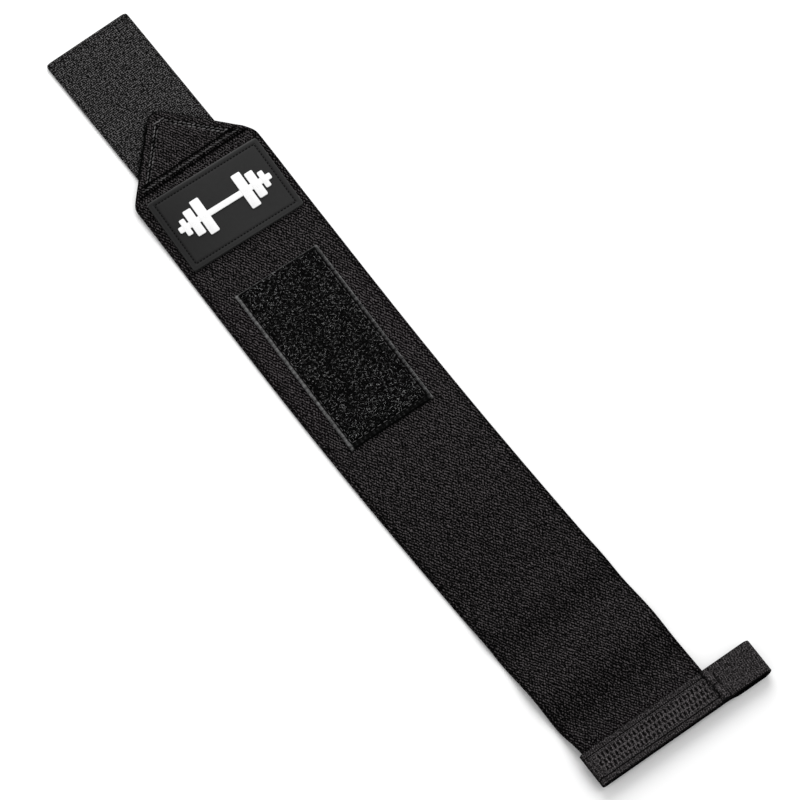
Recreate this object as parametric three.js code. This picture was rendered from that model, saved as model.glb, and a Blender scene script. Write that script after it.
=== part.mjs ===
// Wrist wrap, laid out straight on a table
//
// A wide elastic strap with a point at one end. The hook tab comes out from under the point, the rubber
// label and the loop patch lie on top, and a narrow elastic band runs round the other end and stands open
// beyond one side as the thumb loop.
//
// Sizes are in millimetres. In the strap's own frame x runs from the tip of the point towards the thumb
// loop, y runs across from the strap's centre line, and z is up from the table.

import * as THREE from "three";
import { mergeVertices } from "three/addons/utils/BufferGeometryUtils.js";

// Space left between two pieces that are sewn or bonded to each other
const gap = 0.3;

// Strap
const strapWidth = 76;
const strapLength = 427;
const strapThickness = 1.8;
const strapBow = 3.1; // sideways, from the line between the two ends to the middle
const strapRounding = 0.2; // share of the thickness taken off each corner of the woven edge
const edgeRun = 1.2; // width over which the woven edge rounds off
const edgeTouch = 0.1; // what lies nearer to an edge than this is on it

// Point of the strap
const pointLength = 37;
const pointRadius = 7.5;
const shoulderRadius = 8;
const seamInset = 1; // from the base of the point forward to the seam across it
const stitchInset = 5; // from the folded edge in to the seam along it
const stitchWidth = 2.4;
const stitchDepth = 0.5;
const edgeDroop = 0.4; // share of its height over the tab that the strap loses towards its edges

// Hook tab
const tabWidth = 51;
const tabReach = 57; // past the tip of the point
const tabOverrun = 5; // past the seam, under the strap
const tabThickness = 1.8;
const tabShift = -1.2;

// Rubber label
const labelLength = 44;
const labelWidth = 67;
const labelThickness = 2.2;
const labelSpace = 5; // from the seam to the label
const labelShift = 0.5;
const labelTurn = -1.5; // degrees, against the strap
const labelStitchInset = 3;

// Raised barbell on the label
const emblemLength = 56;
const emblemHeight = 21;
const emblemThickness = 0.6;

// Loop patch
const patchLength = 103.2;
const patchWidth = 50.5;
const patchThickness = 2.4;
const patchSpace = 22.5; // from the label to the patch
const patchShift = -0.35;
const patchTurn = -0.9; // degrees, against the strap
const selvedgeWidth = 2;

// Band that makes the thumb loop
const bandWidth = 19.4;
const bandThickness = 1.4;
const bandOverhang = 0.8; // past the strap's end
const bandTurn = -1.2; // degrees
const bandGather = 1; // taken off the strap's width on each side where the band holds it
const bandTuck = 0.4; // share of the side fold's inner radius that the strap's edge stands into it
const loopReach = 27; // past the strap's edge
const loopDrop = 3.2; // from the sewn part of the band down to the table
const loopRise = 9; // length over which the band comes down from its sewn part
const rippleRoom = 95; // length of strap that lies in ripples before the band
const turnRoom = 60; // length over which the strap's rows turn to follow the band

// Layers of strap along the point, from the tip to just past the seam: two layers that swell between their
// seams, rise in a ridge and are drawn down at the seam. Places are shares of the way from tip to seam.
const ridgeFoot = 0.8;
const seamFoot = 1.1;
const pointLayers = [
  { at: 0, layers: 1.8 },
  { at: 0.3, layers: 2.15 },
  { at: ridgeFoot, layers: 2.05 },
  { at: 0.9, layers: 2.45 },
  { at: 1, layers: 1.35 },
  { at: seamFoot, layers: 1 },
];

// Ripples of the strap, back from the band, as shares of the room they take and of the height of its end
const ripples = [
  { back: 0, lift: 1 },
  { back: 0.19, lift: 0.3 },
  { back: 0.4, lift: 0.62 },
  { back: 0.66, lift: 0.03 },
  { back: 0.8, lift: 0.2 },
  { back: 1, lift: 0 },
];

// Height of the label in from its edge, as shares of its stitch inset and of its thickness: a bevelled
// rim, the channel that holds the stitches, and the field inside it
const labelProfile = [
  { inset: 0, height: 0.72 },
  { inset: 0.18, height: 1 },
  { inset: 0.72, height: 1 },
  { inset: 0.84, height: 0.8 },
  { inset: 1.16, height: 0.8 },
  { inset: 1.28, height: 0.96 },
];

// Height of the loop patch in from its long sides, as shares of its selvedge and of its thickness
const pileProfile = [
  { inset: 0, height: 0.3 },
  { inset: 0.2, height: 0.42 },
  { inset: 1, height: 0.42 },
  { inset: 1.2, height: 0.9 },
  { inset: 1.7, height: 1 },
];

// Half of the barbell from its middle outwards, as shares of half its length and of its height
const barbellSteps = [
  { out: 0.36, height: 0.16 },
  { out: 0.55, height: 1 },
  { out: 0.59, height: 0.16 },
  { out: 0.76, height: 0.74 },
  { out: 0.8, height: 0.16 },
  { out: 0.91, height: 0.46 },
  { out: 1, height: 0.16 },
];

// Lines and places that the pieces share
const halfStrap = strapWidth / 2;
const halfTab = tabWidth / 2;
const seamPlace = pointLength - seamInset;
const tabInnerEnd = seamPlace + tabOverrun;
const labelStart = seamPlace + labelSpace;
const labelEnd = labelStart + labelLength;
const patchStart = labelEnd + patchSpace;
const bandEnd = strapLength + bandOverhang;
const bandStart = bandEnd - bandWidth;
const rippleEnd = bandStart - edgeRun;
const rippleStart = rippleEnd - rippleRoom;
const tabLift = tabThickness + gap;
const endLift = loopDrop + bandThickness + gap;
const halfGathered = halfStrap - bandGather;

// Share from 0 to 1 of the way from one value to another, easing in and out
function ease(value, from, to) {
  return THREE.MathUtils.smoothstep(value, from, to);
}

// A column of a table at a place between its rows, with a level crest or dip at each row
function crests(rows, placeColumn, valueColumn, place) {
  const next = rows.findIndex((row) => row[placeColumn] >= place);
  if (next === 0) return rows[0][valueColumn];
  if (next < 0) return rows[rows.length - 1][valueColumn];
  const share = ease(place, rows[next - 1][placeColumn], rows[next][placeColumn]);
  return THREE.MathUtils.lerp(rows[next - 1][valueColumn], rows[next][valueColumn], share);
}

// Height of a profile at a distance in from an edge, straight from row to row
function profileHeight(rows, distance) {
  const next = rows.findIndex((row) => row.inset >= distance);
  if (next === 0) return rows[0].height;
  if (next < 0) return rows[rows.length - 1].height;
  const before = rows[next - 1];
  const share = (distance - before.inset) / (rows[next].inset - before.inset);
  return THREE.MathUtils.lerp(before.height, rows[next].height, share);
}

// Half angle of the point, whose straight sides run from its round tip to its shoulders
const pointSpan = pointLength - pointRadius;
const pointAngle =
  Math.atan2(halfStrap, pointSpan) - Math.asin(pointRadius / Math.hypot(pointSpan, halfStrap));
const tipEnd = pointRadius * (1 - Math.sin(pointAngle));
const shoulderTangent = shoulderRadius * Math.tan(pointAngle / 2);
const shoulderStart = pointLength - shoulderTangent * Math.cos(pointAngle);
const shoulderEnd = pointLength + shoulderTangent;

// Half the strap's width at a place along it
function halfWidthAt(x) {
  if (x < tipEnd) return Math.sqrt(pointRadius ** 2 - (pointRadius - x) ** 2);
  if (x < shoulderStart) {
    return ((x - pointRadius) * Math.sin(pointAngle) + pointRadius) / Math.cos(pointAngle);
  }
  if (x < shoulderEnd) {
    return halfStrap - shoulderRadius + Math.sqrt(shoulderRadius ** 2 - (x - shoulderEnd) ** 2);
  }
  return halfStrap - bandGather * ease(x, bandStart - bandWidth, rippleEnd);
}

// Height of the strap's underside: over the tab, down on the table, then up in ripples to the band
function undersideAt(x, y) {
  const overTab = tabLift * (1 - ease(x, tabInnerEnd + gap, labelEnd));
  const droop = edgeDroop * ease(Math.abs(y), halfTab + 2 * gap, halfStrap);
  const back = (rippleEnd - x) / rippleRoom;
  return overTab * (1 - droop) + endLift * crests(ripples, "back", "lift", back);
}

// Depth of the seam that follows the point's folded edges
function stitchGrooveAt(x, y) {
  if (x > seamPlace) return 0;
  const inset = (halfWidthAt(x) - Math.abs(y)) * Math.cos(pointAngle);
  return stitchDepth * Math.max(0, 1 - Math.abs(inset - stitchInset) / stitchWidth);
}

// Height of the strap's upper face
function topAt(x, y) {
  const layers = crests(pointLayers, "at", "layers", x / seamPlace);
  return undersideAt(x, y) + strapThickness * layers - stitchGrooveAt(x, y);
}

// Direction of the strap's centre line, as sideways travel for each millimetre along it
function headingAt(x) {
  const share = THREE.MathUtils.clamp(x / strapLength, 0, 1);
  return -((Math.PI * strapBow) / strapLength) * Math.sin(2 * Math.PI * share);
}

// A point of the straight strap, moved to where it lies once the strap has its bow
function lay(x, y, z) {
  const share = THREE.MathUtils.clamp(x / strapLength, 0, 1);
  const side = -strapBow * Math.sin(Math.PI * share) ** 2;
  const turn = Math.tan(THREE.MathUtils.degToRad(bandTurn));
  const follow = turn * ease(x, bandStart - turnRoom, bandStart);
  return new THREE.Vector3(x - y * (headingAt(x) + follow), y + side, z);
}

// Even steps from one value to another, without the last
function evenSteps(from, to, count) {
  return Array.from({ length: count }, (_, i) => THREE.MathUtils.lerp(from, to, i / count));
}

// Positions from edge to edge of a piece: given insets from both edges, and even steps between them
function stops(size, insets, steps) {
  const half = size / 2;
  const inner = half - insets[insets.length - 1];
  const near = insets.slice(0, -1).map((inset) => inset - half);
  const far = insets.map((inset) => half - inset).reverse();
  return [...near, ...evenSteps(-inner, inner, steps), ...far];
}

// Only the closed surface of a geometry, with each corner point once
function bareSurface(geometry) {
  geometry.deleteAttribute("normal");
  geometry.deleteAttribute("uv");
  geometry.clearGroups();
  return mergeVertices(geometry);
}

// A slab of cloth or rubber: a box with a point for each stop along and across, each put in its place
function slab(along, acrossAt, place) {
  const rows = along.length - 1;
  const columns = acrossAt(along[0]).length - 1;
  const surface = bareSurface(new THREE.BoxGeometry(1, 1, 1, rows, columns, 1));
  const points = surface.getAttribute("position");
  for (let k = 0; k < points.count; k += 1) {
    const x = along[Math.round((points.getX(k) + 0.5) * rows)];
    const y = acrossAt(x)[Math.round((points.getY(k) + 0.5) * columns)];
    const spot = place(x, y, points.getZ(k) > 0);
    points.setXYZ(k, spot.x, spot.y, spot.z);
  }
  surface.computeVertexNormals();
  return surface;
}

// Stops along the strap, closest where its shape changes most
function strapStops() {
  const tip = [15, 28, 42]
    .map((angle) => pointRadius * (1 - Math.cos(THREE.MathUtils.degToRad(angle))))
    .filter((x) => x < tipEnd);
  const rampStart = Math.max(shoulderEnd, tabInnerEnd + gap);
  const all = [
    ...tip,
    ...evenSteps(tipEnd, ridgeFoot * seamPlace, 7),
    ...evenSteps(ridgeFoot * seamPlace, seamFoot * seamPlace, 6),
    seamFoot * seamPlace,
    shoulderEnd,
    ...evenSteps(rampStart, labelEnd, 10),
    ...evenSteps(labelEnd, rippleStart, 7),
    ...evenSteps(rippleStart, rippleEnd, 26),
    rippleEnd,
    strapLength - edgeRun,
    strapLength,
  ];
  const sorted = all.sort((a, b) => a - b);
  return sorted.filter((x, i) => i === 0 || x - sorted[i - 1] > gap);
}

// Stops across the strap at one place along it, drawn together where the point is narrow
function strapStopsAcross(x) {
  const half = halfWidthAt(x);
  const seam = [stitchInset - stitchWidth, stitchInset, stitchInset + stitchWidth];
  const insets = [edgeRun, ...seam.map((inset) => inset / Math.cos(pointAngle))];
  insets.push(halfStrap - halfTab - 2 * gap);
  insets.sort((a, b) => a - b);
  const scale = Math.min(1, half / (insets[insets.length - 1] + edgeRun));
  return stops(2 * half, [0, ...insets.map((inset) => inset * scale)], 3);
}

function strapShape() {
  return slab(strapStops(), strapStopsAcross, (x, y, onTop) => {
    const atEdge = halfWidthAt(x) - Math.abs(y) < edgeTouch || strapLength - x < edgeTouch;
    const layers = crests(pointLayers, "at", "layers", x / seamPlace);
    const rounding = atEdge ? strapRounding * strapThickness * layers : 0;
    return lay(x, y, onTop ? topAt(x, y) - rounding : undersideAt(x, y) + rounding);
  });
}

function tabShape() {
  const length = tabReach + tabInnerEnd;
  const across = stops(tabWidth, [0, edgeRun], 4);
  const rounding = strapRounding * tabThickness;
  return slab(stops(length, [0, edgeRun], 5), () => across, (x, y, onTop) => {
    const atEdge = length / 2 - Math.abs(x) < edgeTouch || halfTab - Math.abs(y) < edgeTouch;
    return new THREE.Vector3(x, y, onTop ? tabThickness - (atEdge ? rounding : 0) : 0);
  });
}

// A place on a piece that is turned and shifted on the strap, in the strap's own straight frame
function onStrap(centreX, centreY, turn, x, y) {
  const spot = new THREE.Vector2(x, y).rotateAround(new THREE.Vector2(), THREE.MathUtils.degToRad(turn));
  return [centreX + spot.x, centreY + spot.y];
}

const labelCentre = (labelStart + labelEnd) / 2;

// Height of the strap under a place on the label
function underLabel(x, y) {
  return topAt(...onStrap(labelCentre, labelShift, labelTurn, x, y)) + gap;
}

function labelShape() {
  const insets = labelProfile.map((row) => row.inset * labelStitchInset);
  const rows = labelProfile.map((row, i) => ({ inset: insets[i], height: row.height * labelThickness }));
  const across = stops(labelWidth, insets, 6);
  return slab(stops(labelLength, insets, 5), () => across, (x, y, onTop) => {
    const distance = Math.min(labelLength / 2 - Math.abs(x), labelWidth / 2 - Math.abs(y));
    const height = onTop ? profileHeight(rows, distance) : 0;
    return new THREE.Vector3(x, y, underLabel(x, y) + height);
  });
}

// Outline of the barbell, its bar along the shape's x axis
function barbellOutline() {
  const corners = [];
  let from = 0;
  for (const step of barbellSteps) {
    const height = (step.height * emblemHeight) / 2;
    corners.push([(from * emblemLength) / 2, height], [(step.out * emblemLength) / 2, height]);
    from = step.out;
  }
  const right = corners.map(([x, y]) => new THREE.Vector2(x, y)).slice(1);
  const left = right.map((corner) => new THREE.Vector2(-corner.x, corner.y)).reverse();
  const upper = [...left, ...right];
  const lower = upper.map((corner) => new THREE.Vector2(corner.x, -corner.y)).reverse();
  return new THREE.Shape([...upper, ...lower]);
}

function emblemShape() {
  const settings = { depth: emblemThickness, bevelEnabled: false };
  const surface = bareSurface(new THREE.ExtrudeGeometry(barbellOutline(), settings));
  surface.rotateZ(Math.PI / 2);
  const points = surface.getAttribute("position");
  const field = labelProfile[labelProfile.length - 1].height * labelThickness + gap;
  for (let k = 0; k < points.count; k += 1) {
    const seat = underLabel(points.getX(k), points.getY(k)) + field;
    points.setZ(k, points.getZ(k) + seat);
  }
  surface.computeVertexNormals();
  return surface;
}

function patchShape() {
  const insets = pileProfile.map((row) => row.inset * selvedgeWidth);
  const rows = pileProfile.map((row, i) => ({ inset: insets[i], height: row.height * patchThickness }));
  const centre = patchStart + patchLength / 2;
  const across = stops(patchWidth, insets, 3);
  const endDrop = strapRounding * patchThickness;
  return slab(stops(patchLength, [0, edgeRun], 4), () => across, (x, y, onTop) => {
    const seat = topAt(...onStrap(centre, patchShift, patchTurn, x, y)) + gap;
    const atEnd = patchLength / 2 - Math.abs(x) < edgeTouch;
    const pile = profileHeight(rows, patchWidth / 2 - Math.abs(y));
    const height = Math.min(pile, patchThickness - (atEnd ? endDrop : 0));
    return new THREE.Vector3(x, y, seat + (onTop ? height : 0));
  });
}

// Outline of the band seen along the strap, set in from its outer face. It runs under the loop, round
// the loop's fold, back over the strap, round the strap's edge and under the strap to the loop again.
function bandOutline(inset) {
  const holding = 2 * bandThickness + strapThickness + 2 * gap;
  const foldRadius = (loopDrop + holding) / 2;
  const edgeRadius = holding / 2;
  const foldCentre = halfStrap + loopReach - foldRadius;
  const edgeCentre = -halfGathered + bandTuck * (edgeRadius - bandThickness);
  const sewnEnd = halfGathered + edgeRun;
  const sewnHeight = loopDrop + inset;
  const outline = new THREE.Path();
  outline.absarc(foldCentre, foldRadius, foldRadius - inset, -Math.PI / 2, Math.PI / 2);
  outline.absarc(edgeCentre, loopDrop + edgeRadius, edgeRadius - inset, Math.PI / 2, 1.5 * Math.PI);
  outline.lineTo(sewnEnd, sewnHeight);
  outline.bezierCurveTo(
    sewnEnd + loopRise / 2, sewnHeight,
    sewnEnd + loopRise / 2, inset,
    sewnEnd + loopRise, inset,
  );
  return outline.getPoints(6);
}

function bandShape() {
  const ring = new THREE.Shape(bandOutline(0));
  ring.holes.push(new THREE.Path(bandOutline(bandThickness)));
  const settings = { depth: bandWidth, steps: 2, bevelEnabled: false };
  const surface = bareSurface(new THREE.ExtrudeGeometry(ring, settings));
  const points = surface.getAttribute("position");
  for (let k = 0; k < points.count; k += 1) {
    points.setXYZ(k, points.getZ(k) - bandWidth / 2, points.getX(k), points.getY(k));
  }
  surface.computeVertexNormals();
  return surface;
}

// A group on the strap, at a place on its centre line and turned with it
function seat(x, y, turn) {
  const group = new THREE.Group();
  group.position.copy(lay(x, y, 0));
  group.rotation.z = Math.atan(headingAt(x)) + THREE.MathUtils.degToRad(turn);
  return group;
}

function piece(name, geometry, color, roughness) {
  const mesh = new THREE.Mesh(geometry, new THREE.MeshStandardMaterial({ color, roughness, metalness: 0 }));
  mesh.name = name;
  return mesh;
}

const wrap = new THREE.Group();
wrap.add(piece("wrap_strap", strapShape(), 0x1f1d1e, 0.85));

const tab = piece("hook_tab", tabShape(), 0x2e2e2e, 0.7);
tab.position.set((tabInnerEnd - tabReach) / 2, tabShift, 0);
wrap.add(tab);

const label = seat(labelCentre, labelShift, labelTurn);
label.add(piece("rubber_label", labelShape(), 0x303030, 0.55));
label.add(piece("label_emblem", emblemShape(), 0xf4f4f4, 0.5));
wrap.add(label);

const patch = seat(patchStart + patchLength / 2, patchShift, patchTurn);
patch.add(piece("loop_patch", patchShape(), 0x1c1c1c, 0.95));
wrap.add(patch);

const band = seat((bandStart + bandEnd) / 2, 0, bandTurn);
band.add(piece("thumb_loop", bandShape(), 0x2e2d2d, 0.8));
wrap.add(band);

// The origin is on the table, under the middle of the whole wrap
wrap.updateMatrixWorld(true);
const box = new THREE.Box3().setFromObject(wrap, true);
const middle = box.getCenter(new THREE.Vector3());
wrap.position.set(-middle.x, -middle.y, -box.min.z);

const wristWrap = new THREE.Group();
wristWrap.add(wrap);

export default wristWrap;
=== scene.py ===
import math
import random
import bmesh
import bpy
from mathutils import Matrix, Vector, noise


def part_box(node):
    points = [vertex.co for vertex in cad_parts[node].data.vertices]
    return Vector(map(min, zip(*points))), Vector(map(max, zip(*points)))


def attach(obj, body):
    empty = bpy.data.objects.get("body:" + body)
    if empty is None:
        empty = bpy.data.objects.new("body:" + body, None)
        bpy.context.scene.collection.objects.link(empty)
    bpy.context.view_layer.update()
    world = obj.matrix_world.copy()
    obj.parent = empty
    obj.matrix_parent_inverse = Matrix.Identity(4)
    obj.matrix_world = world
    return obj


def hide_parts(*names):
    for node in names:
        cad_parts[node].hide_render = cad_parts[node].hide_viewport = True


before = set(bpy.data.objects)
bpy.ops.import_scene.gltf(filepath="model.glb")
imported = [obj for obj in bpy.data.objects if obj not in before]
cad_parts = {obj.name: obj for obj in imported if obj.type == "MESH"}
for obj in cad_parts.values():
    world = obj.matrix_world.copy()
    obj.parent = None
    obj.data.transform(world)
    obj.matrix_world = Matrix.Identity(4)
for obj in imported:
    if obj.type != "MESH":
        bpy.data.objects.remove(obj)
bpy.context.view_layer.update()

# Sizes are in millimetres along the straight strap, from the tip of its point; lay() puts them in place
strap = {
    "width": 76, "length": 427, "thick": 1.8, "bow": 3.1, "point": 37, "tip": 7.5, "shoulder": 8,
    "seam": 36, "stitchInset": 5, "stitchWidth": 2.4, "stitchDepth": 0.5, "droop": 0.4, "lift": 2.1,
    "ridgeFront": 31.2, "ridge": 33.2, "ridgeBack": 35.1,
    "rowStep": 1.205, "closeRows": 75, "columnStep": 0.794, "sideColumns": 44,
    "edgeInsets": (0, 0.35, 0.8, 1.3, 1.8, 2.4),
    "weaveAlong": 2.667, "weaveAcross": 1.575, "weaveLean": 0.063,
}
band = {
    "width": 19.4, "thick": 1.4, "start": 408.4, "end": 427.8, "turn": -1.2, "gather": 1,
    "rippleEnd": 407.2, "rippleRoom": 95, "endLift": 4.9, "turnRoom": 60,
    "foldCentre": 60.8, "foldHeight": 4.2, "foldRadius": 3.5,
    "edgeCentre": -36.52, "edgeHeight": 5.8, "edgeRadius": 1.9,
    "sewnEnd": 38.2, "rise": 9, "ribPitch": 1.19, "seam": 34.6, "puffStart": 35.1, "puffEnd": 40,
    "slotPitch": 2.38, "slotLong": 2.4, "slotWide": 0.95, "slotDeep": 0.55,
    "slotsFrom": -34.5, "slotsTo": 34, "rowSpace": 3.4, "groove": 3.15,
}
tab = {"width": 51, "reach": 57, "inner": 41, "tape": 0.8, "thick": 1.8, "shift": -1.2, "corner": 2.2}
label = {
    "long": 44, "width": 67, "thick": 2.2, "start": 41, "shift": 0.5, "turn": -1.5, "corner": 1.3,
    "channel": 2.95, "channelHeight": 0.85, "fieldHeight": 0.96,
}
patch = {
    "long": 103.2, "width": 50.5, "start": 107.5, "shift": -0.35, "turn": -0.9, "hem": 3.3, "startHem": 0.6,
}
gap = 0.3

tabLow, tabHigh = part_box("hook_tab")
originX = tabLow.x * 1000 + tab["reach"]
originY = (tabLow.y + tabHigh.y) / 2 * 1000 - tab["shift"]
half = strap["width"] / 2

pointAngle = math.atan2(half, strap["point"] - strap["tip"]) - math.asin(
    strap["tip"] / math.hypot(strap["point"] - strap["tip"], half)
)
slant = math.cos(pointAngle)
tipEnd = strap["tip"] * (1 - math.sin(pointAngle))
shoulderRun = strap["shoulder"] * math.tan(pointAngle / 2)
shoulderStart = strap["point"] - shoulderRun * slant
shoulderEnd = strap["point"] + shoulderRun

# Share of the seam's place to layers of strap, and share back from the band to share of the end's height
pointLayers = [(0, 1.8), (0.3, 2.15), (0.8, 2.05), (0.9, 2.45), (1, 1.35), (1.1, 1)]
ripples = [(0, 1), (0.19, 0.22), (0.4, 0.68), (0.66, 0.03), (0.8, 0.24), (1, 0)]


def ease(value, low, high):
    share = min(1, max(0, (value - low) / (high - low)))
    return share * share * (3 - 2 * share)


def bump(value, centre, width):
    return math.exp(-(((value - centre) / width) ** 2))


def crests(rows, place):
    if place <= rows[0][0]:
        return rows[0][1]
    for (before, low), (after, high) in zip(rows, rows[1:]):
        if place <= after:
            return low + (high - low) * ease(place, before, after)
    return rows[-1][1]


def halfWidthAt(x):
    if x < tipEnd:
        return math.sqrt(max(0, strap["tip"] ** 2 - (strap["tip"] - x) ** 2))
    if x < shoulderStart:
        return ((x - strap["tip"]) * math.sin(pointAngle) + strap["tip"]) / slant
    if x < shoulderEnd:
        r = strap["shoulder"]
        return half - r + math.sqrt(r * r - (x - shoulderEnd) ** 2)
    return half - band["gather"] * ease(x, band["start"] - band["width"], band["rippleEnd"])


def undersideAt(x, y):
    overTab = strap["lift"] * (1 - ease(x, tab["inner"] + gap, label["start"] + label["long"]))
    droop = strap["droop"] * ease(abs(y), tab["width"] / 2 + 2 * gap, half)
    back = (band["rippleEnd"] - x) / band["rippleRoom"]
    return overTab * (1 - droop) + band["endLift"] * crests(ripples, back)


def seamGroove(x, y):
    if x > strap["seam"]:
        return 0
    inset = (halfWidthAt(x) - abs(y)) * slant
    return strap["stitchDepth"] * max(0, 1 - abs(inset - strap["stitchInset"]) / strap["stitchWidth"])


def layersAt(x):
    return crests(pointLayers, x / strap["seam"])


def topAt(x, y):
    return undersideAt(x, y) + strap["thick"] * layersAt(x) - seamGroove(x, y)


def headingAt(x):
    share = min(1, max(0, x / strap["length"]))
    return -math.pi * strap["bow"] / strap["length"] * math.sin(2 * math.pi * share)


def lay(x, y, z):
    share = min(1, max(0, x / strap["length"]))
    side = -strap["bow"] * math.sin(math.pi * share) ** 2
    follow = math.tan(math.radians(band["turn"])) * ease(x, band["start"] - band["turnRoom"], band["start"])
    x, y = x - y * (headingAt(x) + follow), y + side
    return Vector((x + originX, y + originY, z)) / 1000


def seat(centre, shift, turn):
    heading = math.atan(headingAt(centre)) + math.radians(turn)
    return Matrix.Translation(lay(centre, shift, 0)) @ Matrix.Rotation(heading, 4, "Z")


def onStrap(centre, shift, turn, x, y):
    c, s = math.cos(math.radians(turn)), math.sin(math.radians(turn))
    return centre + x * c - y * s, shift + x * s + y * c


def roundOff(inset, run, depth):
    # Depth lost to a rounded edge
    return depth * (1 - math.sqrt(max(0, 1 - (1 - inset / run) ** 2)))


def takeMesh(bm, name):
    mesh = bpy.data.meshes.new(name)
    bm.to_mesh(mesh)
    bm.free()
    return mesh


# Camera, light and floor
view = {"aim": (0.0155, -0.0052, 0), "elevation": 67.4, "azimuth": 52.9, "far": 3.0, "lens": 268.1}
studio = {"sky": 0.62, "floor": 0.96, "floorRoughness": 0.9, "floorSize": 3, "floorHeight": -0.0002}
lights = [  # name, place, diameter and power
    ("keyLight", (-1.15, 0.6, 1.1), 1.7, 25),
    ("fillLight", (0.7, 1.3, 2.2), 1.8, 12),
    ("frontLight", (0.3, -1.7, 1.9), 1.6, 3),
]


def makeStage():
    scene = bpy.context.scene
    scene.view_settings.view_transform = "Standard"
    high, around = math.radians(view["elevation"]), math.radians(view["azimuth"])
    aim = Vector(view["aim"])
    away = Vector((math.cos(high) * math.sin(around), -math.cos(high) * math.cos(around), math.sin(high)))
    lens = bpy.data.cameras.new("camera")
    lens.lens, lens.sensor_width, lens.clip_start, lens.clip_end = view["lens"], 36, 0.05, 30
    camera = bpy.data.objects.new("camera", lens)
    camera.location = aim + away * view["far"]
    camera.rotation_euler = (-away).to_track_quat("-Z", "Y").to_euler()
    scene.collection.objects.link(camera)
    scene.camera = camera

    for name, spot, size, power in lights:
        lamp = bpy.data.lights.new(name, "AREA")
        lamp.shape, lamp.size, lamp.energy = "DISK", size, power
        holder = bpy.data.objects.new(name, lamp)
        holder.location = spot
        holder.rotation_euler = Vector(spot).to_track_quat("Z", "Y").to_euler()
        scene.collection.objects.link(holder)

    world = bpy.data.worlds.new("studio")
    world.use_nodes = True
    sky = world.node_tree.nodes["Background"]
    sky.inputs["Color"].default_value = (1, 1, 1, 1)
    sky.inputs["Strength"].default_value = studio["sky"]
    scene.world = world

    bm = bmesh.new()
    bmesh.ops.create_grid(bm, x_segments=1, y_segments=1, size=studio["floorSize"])
    mesh = takeMesh(bm, "floor")
    pale = bpy.data.materials.new("paleFloor")
    pale.use_nodes = True
    shader = pale.node_tree.nodes["Principled BSDF"]
    shader.inputs["Base Color"].default_value = (*(studio["floor"],) * 3, 1)
    shader.inputs["Roughness"].default_value = studio["floorRoughness"]
    mesh.materials.append(pale)
    floor = bpy.data.objects.new("floor", mesh)
    floor.location.z = studio["floorHeight"]
    scene.collection.objects.link(floor)
    print("stage ready")


makeStage()


# Node groups that the finishes share
def startGroup(name, inputs, outputs):
    group = bpy.data.node_groups.new(name, "ShaderNodeTree")
    group.interface.new_socket(name="Place", in_out="INPUT", socket_type="NodeSocketVector")
    for way, sockets in (("INPUT", inputs), ("OUTPUT", outputs)):
        for socket in sockets:
            group.interface.new_socket(name=socket, in_out=way, socket_type="NodeSocketFloat")
    return group, group.nodes.new("NodeGroupInput"), group.nodes.new("NodeGroupOutput")


def maths(tree, kind, first, second=None, third=None):
    node = tree.nodes.new("ShaderNodeMath")
    node.operation = kind
    for socket, value in zip(node.inputs, (first, second, third)):
        if value is None:
            continue
        if isinstance(value, (int, float)):
            socket.default_value = value
        else:
            tree.links.new(value, socket)
    return node.outputs[0]


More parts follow.
